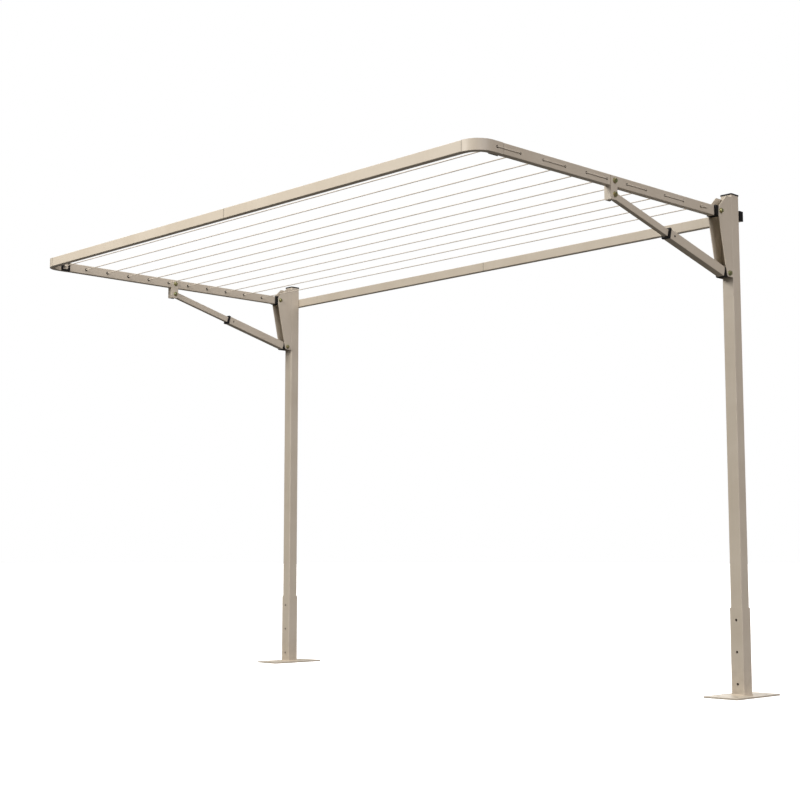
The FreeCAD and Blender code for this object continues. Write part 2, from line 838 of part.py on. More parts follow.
def line_route():
    """Corner points of the one continuous line, from the left front hole."""
    half = size("post_spacing / 2")
    face = half + size("tube_width / 2")
    cord = size("cord_diameter")
    knot_face = face + size("cord_gap")
    on_face = knot_face + cord / 2
    over_yoke = face + size("yoke_play + yoke_steel + cord_gap") + cord / 2
    lift = size("washer_diameter / 2 + cord_diameter / 2 + cord_lift")
    height = size("pivot_height")
    yoke_y = -size("yoke_reach")
    clear = size("yoke_front") - 1
    first = -size("frame_reach") + size("line_first")
    holes = [first + i * size("line_pitch") for i in range(int(size("line_count")))]
    points = [Vector(-knot_face, holes[0], height)]
    side = 1
    for y, following in zip(holes, holes[1:]):
        crosses_yoke = side < 0 and y < yoke_y < following
        x = side * (over_yoke if crosses_yoke else on_face)
        points.append(Vector(x, y, height))
        if crosses_yoke:
            points.append(Vector(x, yoke_y - clear, height + lift))
            points.append(Vector(x, yoke_y + clear, height + lift))
        points.append(Vector(x, following, height))
        side = -side
    points.append(Vector(knot_face, holes[-1], height))
    return points


def clothes_line(label):
    """The whole line as one tube, threaded to and fro through both arms."""
    radius = size("cord_diameter / 2")
    wire, radii = rounded_route(line_route(), size("cord_bend"))
    start = wire.OrderedVertexes[0].Point
    profile = Part.Wire(Part.Circle(start, X_AXIS, radius).toShape())
    solid = wire.makePipeShell([profile], True, False)
    node = DOC.addObject("Part::Feature", label)
    node.Label = label
    node.Shape = solid
    NODES.append(node)
    expected = math.pi * radius ** 2 * wire.Length
    print(f"{label}: length {wire.Length:.0f} mm, arc radii {sorted(set(radii))} mm, "
          f"volume {solid.Volume:.0f} of {expected:.0f} mm3")
    if abs(solid.Volume - expected) > 0.01 * expected:
        raise RuntimeError("the line's volume does not match its length")
    return node


def line_knot(label):
    """Closed outer shape of a stopper knot, with its inner face at x = 0."""
    block = box(label + "_block", "knot_length", "knot_size", "knot_size",
                Vector(0, -size("knot_size") / 2, -size("knot_size") / 2))
    DOC.recompute()
    knot = DOC.addObject("Part::Fillet", label)
    knot.Label = label
    knot.Base = block
    rounding = size("knot_round")
    knot.Edges = [(n, rounding, rounding) for n in range(1, 13)]
    NODES.append(knot)
    return knot


def line_tail(label):
    """Free end of the line beyond the last knot, along plus Y."""
    tail = DOC.addObject("Part::Cylinder", label)
    tail.Label = label
    bind(tail, "Radius", "cord_diameter / 2")
    bind(tail, "Height", "tail_length")
    NODES.append(tail)
    return tail


# ---------------------------------------------------------------- assembly

half_spacing = size("post_spacing") / 2
pivot = Vector(0, -size("pivot_reach"), size("pivot_height"))
foot = Vector(0, -size("foot_reach"), size("pivot_height") - size("foot_drop"))
pin = Vector(0, -size("yoke_reach"), size("pivot_height") - size("yoke_drop"))
strut = pin - foot
strut_angle = math.degrees(math.atan2(strut.z, -strut.y))
strut_tilt = Rotation(X_AXIS, -strut_angle)
folded_pin = pivot + Rotation(X_AXIS, 90).multVec(pin - pivot)
folded_length = (folded_pin - foot).Length
cheek_face = size("post_size / 2")
bracket_base = Vector(0, 0, size("post_top - cap_thickness - bracket_drop - bracket_height"))
plate_top = Vector(0, 0, size("plate_thickness"))
front_bar = Vector(0, -size("frame_reach"), size("pivot_height"))
bar_behind = size("( post_size + tube_width ) / 2")
rear_bar = Vector(0, bar_behind, size("pivot_height"))
half_seam = size("seam_gap") / 2

for side, sign in SIDES.items():
    across = Vector(sign * half_spacing, 0, 0)
    mirrored = Rotation(Y_AXIS, 0 if sign > 0 else 180)
    turned = Rotation(Z_AXIS, 0 if sign > 0 else 180)

    place(base_plate(f"base_plate_{side}"), across)
    place(base_socket(f"base_socket_{side}"), across + plate_top)
    place(post(f"post_{side}"), across + plate_top)
    cap_seat = Vector(0, 0, size("post_top") - size("cap_thickness"))
    place(post_cap(f"post_cap_{side}"), across + cap_seat)
    place(post_bracket(f"post_bracket_{side}"), across + bracket_base)

    fixing_height = Vector(0, -size("bracket_steel") / 2,
                           size("post_top - cap_thickness - bracket_drop - bracket_shoulder / 3"))
    fixing = cross_bolt(f"bracket_bolt_{side}", "( post_size + bracket_steel ) / 2")
    place(fixing, across + fixing_height, Rotation(Z_AXIS, 90))
    place(cross_bolt(f"arm_pivot_bolt_{side}", "post_size / 2"),
          across + pivot)
    for name, facing in (("outer", sign), ("inner", -sign)):
        spin = Rotation(Y_AXIS, 0 if facing > 0 else 180)
        place(stub_bolt(f"strut_foot_bolt_{side}_{name}"),
              across + foot + Vector(facing * cheek_face, 0, 0), spin)

    bar_end = size("post_spacing / 2 + post_size / 2 + bracket_steel - 2 * seam_gap")
    place(rear_bar_half(f"rear_bar_{side}"), rear_bar + Vector(sign * half_seam, 0, 0),
          mirrored)
    through = cross_bolt(f"rear_bar_bolt_{side}",
                         "( post_size + bracket_steel + tube_width ) / 2")
    middle_y = size("( tube_width - bracket_steel ) / 2")
    place(through, across + Vector(0, middle_y, size("pivot_height")), Rotation(Z_AXIS, 90))
    place(end_cap(f"rear_bar_end_cap_{side}"), rear_bar + Vector(sign * bar_end, 0, 0),
          mirrored)

    arm_rear = pivot - Vector(0, size("arm_neck"), 0)
    place(arm(f"arm_{side}"), across + arm_rear)
    plug = knuckle(f"arm_pivot_plug_{side}", "arm_neck", "tube_height", "tube_height",
                   "plug_depth", "tube_width - 2 * tube_wall - plug_play",
                   "tube_height - 2 * tube_wall - plug_play")
    place(plug, across + pivot)
    place(corner_elbow(f"corner_elbow_{side}"), across + front_bar, mirrored)
    place(corner_joiner(f"corner_joiner_{side}", -sign), across + front_bar)
    elbow_seam = front_bar + Vector(sign * (half_spacing - size("bend_radius")), 0, 0)
    insert = corner_insert(f"corner_insert_{side}")
    insert.Placement = Placement(elbow_seam, mirrored).multiply(insert.Placement)
    bar = bar_half(f"front_bar_{side}", "seam_gap / 2",
                   "post_spacing / 2 - bend_radius - seam_gap")
    place(bar, front_bar + Vector(sign * half_seam, 0, 0), mirrored)
    place(yoke(f"yoke_{side}"), across + pin)
    yoke_grip = "tube_width / 2 + yoke_play + yoke_steel"
    place(cross_bolt(f"yoke_bolt_{side}", yoke_grip),
          across + pin + Vector(0, 0, size("yoke_drop")))
    place(yoke_pin(f"yoke_pin_{side}"), across + pin)

    at_foot = across + foot
    place(strut_outer_tube(f"strut_outer_tube_{side}"), at_foot, strut_tilt)
    place(strut_guide_collar(f"strut_guide_collar_{side}"), at_foot, strut_tilt)
    plug = knuckle(f"strut_foot_plug_{side}", "foot_neck", "strut_height", "foot_nose",
                   "foot_insert", "strut_width - 2 * tube_wall - plug_play",
                   "strut_height - 2 * tube_wall - plug_play")
    place(plug, at_foot, strut_tilt)
    place(strut_rod(f"strut_rod_{side}", strut.Length), at_foot, strut_tilt)
    cap = rod_slide_cap(f"strut_slide_cap_{side}", strut.Length)
    seat = Placement(at_foot, strut_tilt).multiply(cap.Placement)
    cap.Placement = seat

    knot_seat = Vector(sign * (half_spacing + size("tube_width / 2 + cord_gap")), 0,
                       size("pivot_height"))
    hole = 0 if sign < 0 else size("line_count") - 1
    knot_y = -size("frame_reach") + size("line_first") + hole * size("line_pitch")
    place(line_knot(f"line_knot_{side}"), knot_seat + Vector(0, knot_y, 0), turned)

place(bar_joiner("rear_bar_joiner"), rear_bar)
place(bar_joiner("front_bar_joiner"), front_bar)
clothes_line("clothes_line")
last_hole = (-size("frame_reach") + size("line_first")
             + (size("line_count") - 1) * size("line_pitch"))
tail_start = Vector(half_spacing + size("tube_width / 2 + cord_gap + knot_length / 2"),
                    last_hole + size("knot_size") / 2, size("pivot_height"))
place(line_tail("line_tail"), tail_start, Rotation(Z_AXIS, Y_AXIS))

DOC.recompute()

for item in DOC.Objects:
    if "Invalid" in item.State or "Error" in item.State:
        raise RuntimeError(f"{item.Label} is {item.State}")
for node in NODES:
    if node.Shape.isNull() or not node.Shape.isValid():
        raise RuntimeError(f"{node.Label} has no valid shape")
    if len(node.Shape.Solids) != 1:
        raise RuntimeError(f"{node.Label} has {len(node.Shape.Solids)} solids")

print(f"strut {strut.Length:.2f} mm open, {folded_length:.2f} mm folded, "
      f"{strut_angle:.3f} degrees up; {len(NODES)} nodes")

os.makedirs("parts", exist_ok=True)
for node in NODES:
    node.Shape.exportStep(f"parts/{node.Label}.step")
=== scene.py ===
"""Fold-down clothesline: materials, cord, fasteners, lights and camera around the CAD frame."""

import json
import math

import bmesh
import bpy
from mathutils import Matrix, Vector


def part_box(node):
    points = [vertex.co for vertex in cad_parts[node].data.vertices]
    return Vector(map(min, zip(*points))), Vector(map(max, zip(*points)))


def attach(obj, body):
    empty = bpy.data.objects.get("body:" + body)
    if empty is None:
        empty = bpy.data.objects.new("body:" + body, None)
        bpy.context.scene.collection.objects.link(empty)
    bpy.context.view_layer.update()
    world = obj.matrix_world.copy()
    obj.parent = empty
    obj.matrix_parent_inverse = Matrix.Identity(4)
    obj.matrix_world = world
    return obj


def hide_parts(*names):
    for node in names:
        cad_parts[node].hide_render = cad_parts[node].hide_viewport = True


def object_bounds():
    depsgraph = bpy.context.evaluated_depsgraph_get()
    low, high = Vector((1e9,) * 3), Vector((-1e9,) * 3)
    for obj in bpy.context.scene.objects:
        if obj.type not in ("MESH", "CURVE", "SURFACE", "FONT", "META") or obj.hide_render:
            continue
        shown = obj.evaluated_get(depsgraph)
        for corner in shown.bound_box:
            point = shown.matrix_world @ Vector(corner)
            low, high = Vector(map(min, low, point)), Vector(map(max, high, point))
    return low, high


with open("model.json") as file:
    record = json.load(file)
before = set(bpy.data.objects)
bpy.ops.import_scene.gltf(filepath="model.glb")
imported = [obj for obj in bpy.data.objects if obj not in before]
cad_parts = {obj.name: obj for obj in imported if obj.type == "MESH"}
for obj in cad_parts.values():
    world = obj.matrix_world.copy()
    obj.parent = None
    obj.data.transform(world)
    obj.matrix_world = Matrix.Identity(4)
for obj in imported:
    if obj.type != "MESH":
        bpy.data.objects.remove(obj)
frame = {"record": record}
cad_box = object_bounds()

SIDES = {"left": -1, "right": 1}


def low_high(node):
    """Lowest and highest corner of a node's box at rest."""
    low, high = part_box(node)
    return Vector(low), Vector(high)


def centre(node):
    """Middle of a node's box as x, y and z, to a tenth of a millimetre."""
    low, high = low_high(node)
    return [round(value, 4) for value in (low + high) / 2]


def half_width(node):
    """Half a node's size along X, to a tenth of a millimetre."""
    low, high = low_high(node)
    return round((high.x - low.x) / 2, 4)


# Places that the frame gives
HALF_SPACING, _, LINE_HEIGHT = centre("arm_right")
TUBE_HALF = half_width("arm_right")
STRUT_HALF = half_width("strut_outer_tube_right")
FRAME_REACH = -centre("front_bar_left")[1]
YOKE_REACH = -centre("yoke_bolt_left")[1]
FOOT_Y, FOOT_Z = centre("strut_foot_bolt_left_outer")[1:]
PIN_Y, PIN_Z = centre("yoke_pin_left")[1:]

# Bought fasteners: radii of the bolt and washer, and the head's sizes
BOLT = 0.005
WASHER = 0.0105
WASHER_THICK = 0.002
HEX_FLATS = 0.016
HEAD_HIGH = 0.0064
HEX_CHAMFER = 0.0006
THREAD_PITCH = 0.00062
BRACKET_STEEL = 0.003

# The line and what it passes
CORD = 0.004
CORD_CLEAR = 0.0003
LINE_COUNT = 11
LINE_FIRST = 0.080
LINE_PITCH = 0.116
NEAR_EDGE = 2 * CORD
YOKE_STEEL = 0.0025
LINE_HOLES = [-FRAME_REACH + LINE_FIRST + k * LINE_PITCH for k in range(LINE_COUNT)]
# Eyelet sizes: black rings whose dark colour is partly painted shade for the inside of the line
# holes.
EYELET_BORE = 0.0023
EYELET_RIM = 0.0062
EYELET_PROUD = 0.0009

# Small mouldings
CAP_PROUD = 0.0015
CAP_CROWN = 0.0015
CAP_RIM = 0.005
LATCH_HOLE = 0.008
LATCH_FROM_FOOT = 0.358

# ---------------------------------------------------------------- materials


class Shader:
    """A Principled material with short helpers for its procedural nodes."""

    def __init__(self, name):
        self.material = bpy.data.materials.new(name)
        self.material.use_nodes = True
        self.nodes = self.material.node_tree.nodes
        self.links = self.material.node_tree.links
        self.surface = self.nodes["Principled BSDF"]
        self.place = self.node("ShaderNodeTexCoord").outputs["Object"]

    def node(self, kind, **settings):
        made = self.nodes.new(kind)
        for key, value in settings.items():
            setattr(made, key, value)
        return made

    def set(self, socket, value):
        self.surface.inputs[socket].default_value = value

    def noise(self, scale, detail=2.0, roughness=0.5, where=None):
        made = self.node("ShaderNodeTexNoise")
        made.inputs["Scale"].default_value = scale
        made.inputs["Detail"].default_value = detail
        made.inputs["Roughness"].default_value = roughness
        self.links.new(where or self.place, made.inputs["Vector"])
        return made.outputs["Fac"]

    def spread(self, factor, low, high, to_low=0.0, to_high=1.0):
        """Map factor from low..high to to_low..to_high, held at the ends."""
        made = self.node("ShaderNodeMapRange")
        made.inputs["From Min"].default_value = low
        made.inputs["From Max"].default_value = high
        made.inputs["To Min"].default_value = to_low
        made.inputs["To Max"].default_value = to_high
        self.links.new(factor, made.inputs["Value"])
        return made.outputs["Result"]

    def math(self, operation, first, second):
        made = self.node("ShaderNodeMath", operation=operation)
        for slot, value in enumerate((first, second)):
            if isinstance(value, (int, float)):
                made.inputs[slot].default_value = value
            else:
                self.links.new(value, made.inputs[slot])
        return made.outputs["Value"]

    def mix(self, factor, first, second):
        """A colour between two colours; each is a tuple or another mix."""
        made = self.node("ShaderNodeMix", data_type="RGBA")
        self.links.new(factor, made.inputs[0])
        for slot, value in ((6, first), (7, second)):
            if isinstance(value, tuple):
                made.inputs[slot].default_value = (*value, 1.0)
            else:
                self.links.new(value, made.inputs[slot])
        return made.outputs[2]

    def shelter(self, reach):
        """How open the surface is within reach: 1 in the open, near 0 deep in a gap."""
        made = self.node("ShaderNodeAmbientOcclusion", samples=8)
        made.inputs["Distance"].default_value = reach
        return made.outputs["AO"]

    def axis(self, letter):
        made = self.node("ShaderNodeSeparateXYZ")
        self.links.new(self.place, made.inputs[0])
        return made.outputs[letter]

    def stretched(self, x, y, z):
        made = self.node("ShaderNodeMapping")
        made.inputs["Scale"].default_value = (x, y, z)
        self.links.new(self.place, made.inputs["Vector"])
        return made.outputs["Vector"]

    def feed(self, socket, output):
        self.links.new(output, self.surface.inputs[socket])

    def bump(self, height, strength, distance):
        made = self.node("ShaderNodeBump")
        made.inputs["Strength"].default_value = strength
        made.inputs["Distance"].default_value = distance
        self.links.new(height, made.inputs["Height"])
        self.feed("Normal", made.outputs["Normal"])


def powder_coat():
    """Cream satin powder coat: orange peel, mottling, dust near the ground, and painted shade
    that darkens the colour deep in gaps.
    """
    shader = Shader("powder_coat")
    light, deep = (0.595, 0.528, 0.432), (0.560, 0.492, 0.396)
    mottling = shader.spread(shader.noise(7.0, 3.0), 0.35, 0.65)
    # The near-black brown below is painted shade for deep gaps.
    streak, dust, gap_shade_colour = (0.52, 0.44, 0.34), (0.40, 0.34, 0.27), (0.10, 0.075, 0.05)
    tone = shader.mix(mottling, light, deep)
    streaks = shader.noise(1.0, 4.0, where=shader.stretched(60.0, 60.0, 4.0))
    washed = shader.mix(shader.spread(streaks, 0.55, 0.80, 0.0, 0.35), tone, streak)
    height = shader.axis("Z")
    near_ground = shader.spread(height, 0.0, 0.16, 0.55, 0.0)
    patches = shader.spread(shader.noise(38.0, 5.0), 0.38, 0.66)
    dusty = shader.mix(shader.math("MULTIPLY", near_ground, patches), washed, dust)
    # Painted shade: ambient occlusion darkens the coat's colour in gaps, holes and between
    # parts.
    painted_gap_shade = shader.spread(shader.shelter(0.05), 0.10, 0.55, 0.80, 0.0)
    shader.feed("Base Color", shader.mix(painted_gap_shade, dusty, gap_shade_colour))
    shader.feed("Roughness", shader.spread(shader.noise(55.0, 3.0), 0.3, 0.7, 0.40, 0.52))
    shader.set("Specular IOR Level", 0.42)
    shader.set("Coat Weight", 0.10)
    shader.set("Coat Roughness", 0.35)
    shader.bump(shader.noise(750.0, 1.5), 0.10, 0.0004)
    return shader.material


def black_plastic():
    """Moulded black plastic with a fine spark-eroded grain."""
    shader = Shader("black_plastic")
    fade = shader.spread(shader.noise(24.0, 4.0), 0.35, 0.70)
    shader.feed("Base Color", shader.mix(fade, (0.006, 0.006, 0.007), (0.012, 0.011, 0.011)))
    shader.feed("Roughness", shader.spread(shader.noise(140.0, 3.0), 0.3, 0.7, 0.48, 0.64))
    shader.set("Specular IOR Level", 0.22)
    shader.bump(shader.noise(1600.0, 2.0), 0.25, 0.0003)
    return shader.material


def zinc_fastener():
    """Yellow passivated zinc: gold with green and rose drifts and dulled patches."""
    shader = Shader("zinc_fastener")
    shader.set("Metallic", 1.0)
    drift = shader.spread(shader.noise(130.0, 2.0), 0.38, 0.62)
    gold, green = (0.50, 0.42, 0.22), (0.35, 0.42, 0.23)
    rose, dull = (0.52, 0.35, 0.28), (0.24, 0.21, 0.16)
    passivated = shader.mix(drift, gold, green)
    blush = shader.spread(shader.noise(210.0, 2.0), 0.58, 0.74)
    worn = shader.spread(shader.noise(420.0, 4.0), 0.55, 0.80, 0.0, 0.5)
    shader.feed("Base Color", shader.mix(worn, shader.mix(blush, passivated, rose), dull))
    shader.feed("Roughness", shader.spread(shader.noise(300.0, 3.0), 0.3, 0.7, 0.30, 0.48))
    shader.bump(shader.noise(2200.0, 2.0), 0.12, 0.0002)
    return shader.material


def line_cord():
    """Fawn plastic cover over a laid core: slanted ridges along the line."""
    shader = Shader("line_cord")
    fade = shader.spread(shader.noise(16.0, 3.0), 0.35, 0.68)
    shader.feed("Base Color", shader.mix(fade, (0.66, 0.59, 0.50), (0.58, 0.51, 0.42)))
    shader.set("Roughness", 0.48)
    ridges = shader.node("ShaderNodeTexWave", bands_direction="DIAGONAL")
    ridges.inputs["Scale"].default_value = 170.0
    ridges.inputs["Distortion"].default_value = 0.6
    shader.links.new(shader.place, ridges.inputs["Vector"])
    shader.bump(ridges.outputs["Fac"], 0.45, 0.0006)
    return shader.material


def weld_metal():
    """Weld bead under the powder coat."""
    shader = Shader("weld_bead_coat")
    tone = shader.mix(shader.noise(90.0, 3.0), (0.63, 0.545, 0.43), (0.50, 0.42, 0.32))
    shader.feed("Base Color", tone)
    shader.set("Roughness", 0.50)
    shader.bump(shader.noise(900.0, 3.0), 0.3, 0.0006)
    return shader.material


def pale_floor():
    """Matt pale floor that glows a little, so that it stays plain under the object."""
    shader = Shader("pale_floor")
    mottling = shader.spread(shader.noise(0.8, 2.0), 0.3, 0.7)
    shader.feed("Base Color", shader.mix(mottling, (0.93, 0.93, 0.93), (0.91, 0.91, 0.91)))
    shader.set("Roughness", 0.90)
    shader.set("Emission Color", (1.0, 1.0, 1.0, 1.0))
    shader.set("Emission Strength", 0.60)
    return shader.material


FINISHES = {
    "powder_coat": powder_coat(),
    "black_plastic": black_plastic(),
    "zinc_fastener": zinc_fastener(),
    "line_cord": line_cord(),
}

# Width of the rounded edge on each kind of node
EDGE_WIDTHS = {
    "base_plate": 0.0012, "post_bracket": 0.0007, "yoke": 0.0006, "rear_bar_end_cap": 0.0010,
    "strut_guide_collar": 0.0009, "strut_foot_plug": 0.0010, "arm_pivot_plug": 0.0010,
    "corner_joiner": 0.0004,
}


def soften(obj, width):
    """Round the sharp edges a little so that they catch the light."""
    bevel = obj.modifiers.new("edge", "BEVEL")
    bevel.width = width
    bevel.segments = 2
    bevel.limit_method = "ANGLE"
    bevel.angle_limit = math.radians(40.0)
    bevel.harden_normals = True


def finish_cad_nodes():
    """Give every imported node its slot's material and soften its folded edges."""
    slots = {part["node"]: part["material_slot"] for part in frame["record"]["subparts"]}
    for node, slot_name in slots.items():
        obj = bpy.data.objects[node]
        obj.data.materials.clear()
        obj.data.materials.append(FINISHES[slot_name])
        kind = node.removesuffix("_left").removesuffix("_right")
        if kind in EDGE_WIDTHS:
            soften(obj, EDGE_WIDTHS[kind])


finish_cad_nodes()

# ---------------------------------------------------------------- mesh helpers


def piece(name, mesh_maker, body, slot_name, replaced=(), angle=35.0):
    """A new mesh object that rides on a body and takes a slot's finish."""
    mesh = bpy.data.meshes.new(name)
    made = bmesh.new()
    mesh_maker(made)
    bmesh.ops.recalc_face_normals(made, faces=made.faces)
    for face in made.faces:
        face.smooth = True
    for edge in made.edges:
        if len(edge.link_faces) == 2 and edge.calc_face_angle(0.0) > math.radians(angle):
            edge.smooth = False
    made.to_mesh(mesh)
    made.free()
    obj = bpy.data.objects.new(name, mesh)
    bpy.context.scene.collection.objects.link(obj)
    mesh.materials.append(FINISHES[slot_name])
    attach(obj, body)
    if replaced:
        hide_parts(*replaced)
    return obj


def lathe(made, profile, steps, turn):
    """Revolve (x, r) points about X; turn maps local points into the shared frame."""
    rings = []
    for x, r in profile:
        if r < 1e-9:
            rings.append([made.verts.new(turn @ Vector((x, 0, 0)))])
            continue
        ring = []
        for k in range(steps):
            angle = 2 * math.pi * k / steps
            point = Vector((x, r * math.cos(angle), r * math.sin(angle)))
            ring.append(made.verts.new(turn @ point))
        rings.append(ring)
    for a, b in zip(rings, rings[1:]):
        join_rings(made, a, b)


def join_rings(made, a, b):
    """Faces between two closed rings of points; a ring of one point is a tip."""
    count = max(len(a), len(b))
    for k in range(count):
        following = (k + 1) % count
        if len(a) == 1:
            made.faces.new((a[0], b[k], b[following]))
        elif len(b) == 1:
            made.faces.new((a[k], b[0], a[following]))
        else:
            made.faces.new((a[k], b[k], b[following], a[following]))


def hexagon(made, start, height, bore, turn):
    """Hexagonal head or nut about X from start, with its outer corners turned off."""
    half, steps = HEX_FLATS / 2, 48
    corner = HEX_FLATS / math.sqrt(3)
    shoulder = start + height - 1.6 * HEX_CHAMFER
    angles = [2 * math.pi * k / steps for k in range(steps)]

    def ring(place):
        points = [Vector(place(angle)) for angle in angles]
        return [made.verts.new(turn @ point) for point in points]

    def across(angle):
        """Distance from the axis to the hexagon's side."""
        return half / math.cos(angle % (math.pi / 3) - math.pi / 6)

    def about(x, r, angle):
        return x, r * math.cos(angle), r * math.sin(angle)

    def turned_off(angle):
        drop = (across(angle) - half) / (corner - half) * HEX_CHAMFER
        return about(shoulder - drop, across(angle), angle)

    base = ring(lambda angle: about(start, bore, angle))
    foot = ring(lambda angle: about(start, across(angle), angle))
    edge = ring(turned_off)
    face = ring(lambda angle: about(start + height, min(across(angle), half * 0.97), angle))
    inner = ring(lambda angle: about(start + height, bore, angle))
    loop = [base, foot, edge, face, inner, base]
    for a, b in zip(loop, loop[1:]):
        join_rings(made, a, b)


def washer(made, start, turn):
    """Flat washer about X with bevelled rims."""
    bevel = 0.0003
    lathe(made, [(start, BOLT), (start, WASHER - bevel), (start + bevel, WASHER),
                 (start + WASHER_THICK - bevel, WASHER),
                 (start + WASHER_THICK, WASHER - bevel), (start + WASHER_THICK, BOLT),
                 (start, BOLT)], 40, turn)


def bolt_head(made, seat, turn):
    """Washer and hex head with a shallow dished face, outward from seat."""
    washer(made, seat, turn)
    start = seat + WASHER_THICK
    height = HEAD_HIGH - 0.0004
    hexagon(made, start, height, 0.0062, turn)
    top = start + height
    lathe(made, [(top - 0.0002, 0.0063), (top, 0.0061), (top - 0.0003, 0.0054),
                 (top - 0.0004, 0.0)], 32, turn)


def lock_nut(made, seat, turn):
    """Washer, hex nut with a collar and the bolt's threaded tip."""
    washer(made, seat, turn)
    start = seat + WASHER_THICK
    height = HEAD_HIGH - 0.0016
    hexagon(made, start, height, 0.0064, turn)
    top = start + height
    lathe(made, [(top - 0.0002, 0.0068), (top + 0.0009, 0.0068), (top + 0.0012, 0.0064),
                 (top + 0.0012, 0.0053), (top - 0.0002, 0.0051)], 32, turn)
    profile = [(top - 0.001, BOLT - 0.0002)]
    for k in range(4):
        x = top - 0.0006 + k * THREAD_PITCH
        profile += [(x, BOLT - 0.0005), (x + THREAD_PITCH / 2, BOLT - 0.0001)]
    end = profile[-1][0] + THREAD_PITCH / 2
    profile += [(end, BOLT - 0.0006), (end + 0.0004, BOLT - 0.0011), (end + 0.0004, 0.0)]
    lathe(made, profile, 32, turn)


def shank(made, start, end, turn):
    """Plain round of the bolt's own size."""
    lathe(made, [(start, 0.0), (start, BOLT), (end, BOLT), (end, 0.0)], 32, turn)


def axis_turn(origin, direction, spin=0.0):
    """Rotation that takes local X to a direction, about an origin, after a spin about X."""
    aim = Vector(direction).to_track_quat("X", "Z").to_matrix().to_4x4()
    return Matrix.Translation(origin) @ aim @ Matrix.Rotation(spin, 4, "X")


def through_bolt(node, direction, body, spin):
    """Head at the end of a node's box that direction points to, nut at the other."""
    low, high = low_high(node)
    origin = (low + high) / 2
    axis = max(range(3), key=lambda k: abs(direction[k]))
    half = (high[axis] - low[axis]) / 2
    grip = half - WASHER_THICK - HEAD_HIGH
    forward = axis_turn(origin, direction, spin)
    backward = axis_turn(origin, [-d for d in direction], spin * 1.7)

    def build(made):
        bolt_head(made, grip, forward)
        lock_nut(made, grip, backward)
        shank(made, -grip - WASHER_THICK, grip + WASHER_THICK, forward)

    piece(f"{node}_detail", build, body, "zinc_fastener", (node,))


def stub_fastener(node, facing, body, nut, spin):
    """One end of the strut foot bolt, outside a bracket cheek."""
    low, high = low_high(node)
    seat = low.x if facing > 0 else high.x
    origin = Vector((seat + facing * BRACKET_STEEL, (low.y + high.y) / 2, (low.z + high.z) / 2))
    turn = axis_turn(origin, (facing, 0, 0), spin)

    def build(made):
        if nut:
            lock_nut(made, 0.0, turn)
        else:
            bolt_head(made, 0.0, turn)
        shank(made, -BRACKET_STEEL, WASHER_THICK, turn)

    piece(f"{node}_detail", build, body, "zinc_fastener", (node,))


def fasteners():
    """Every bolt of both sides, each turned a little differently."""
    for side, sign in SIDES.items():
        outward = (sign, 0, 0)
        through_bolt(f"arm_pivot_bolt_{side}", outward, "ground_frame", 0.3)
        through_bolt(f"bracket_bolt_{side}", (0, -1, 0), "ground_frame", 0.9)
        through_bolt(f"rear_bar_bolt_{side}", (0, -1, 0), "ground_frame", 0.1)
        through_bolt(f"yoke_bolt_{side}", outward, "line_frame", 0.6)
        through_bolt(f"yoke_pin_{side}", outward, "line_frame", 0.2)
        foot = f"strut_foot_bolt_{side}"
        stub_fastener(f"{foot}_outer", sign, "ground_frame", False, 0.5)
        stub_fastener(f"{foot}_inner", -sign, "ground_frame", True, 0.8)


fasteners()

# ---------------------------------------------------------------- caps and welds


def rounded_square(half, radius, steps=6):
    """Points round a square with round corners, anticlockwise."""
    points = []
    for quarter in range(4):
        turn = quarter * math.pi / 2
        out = Vector((half - radius, half - radius)).length
        middle_angle = turn + math.pi / 4
        corner = Vector((math.cos(middle_angle), math.sin(middle_angle))) * out
        for k in range(steps + 1):
            angle = turn + math.pi / 2 * k / steps
            points.append(corner + radius * Vector((math.cos(angle), math.sin(angle))))
    return points


def post_cap(side):
    """Moulded cap with a rolled edge and a low crown."""
    node = f"post_cap_{side}"
    low, high = low_high(node)
    origin = (low + high) / 2
    half = (high.x - low.x) / 2 + CAP_PROUD
    top, under = high.z + CAP_CROWN, high.z - CAP_RIM
    levels = [(under - 0.004, 0.0040, 0.003), (under, 0.0040, 0.003), (under, 0.0, 0.004),
              (top - 0.0022, 0.0, 0.004), (top - 0.0012, 0.0004, 0.004),
              (top - 0.0007, 0.0014, 0.004), (top - 0.0004, 0.0050, 0.003),
              (top - 0.0001, 0.0120, 0.002), (top, 0.0200, 0.001)]

    def build(made):
        rings = []
        for z, inset, radius in levels:
            outline = rounded_square(half - inset, radius)
            rings.append([made.verts.new((origin.x + p.x, origin.y + p.y, z)) for p in outline])
        for a, b in zip(rings, rings[1:]):
            join_rings(made, a, b)
        made.faces.new(rings[-1])
        made.faces.new(list(reversed(rings[0])))

    piece(f"{node}_detail", build, "ground_frame", "black_plastic", (node,))


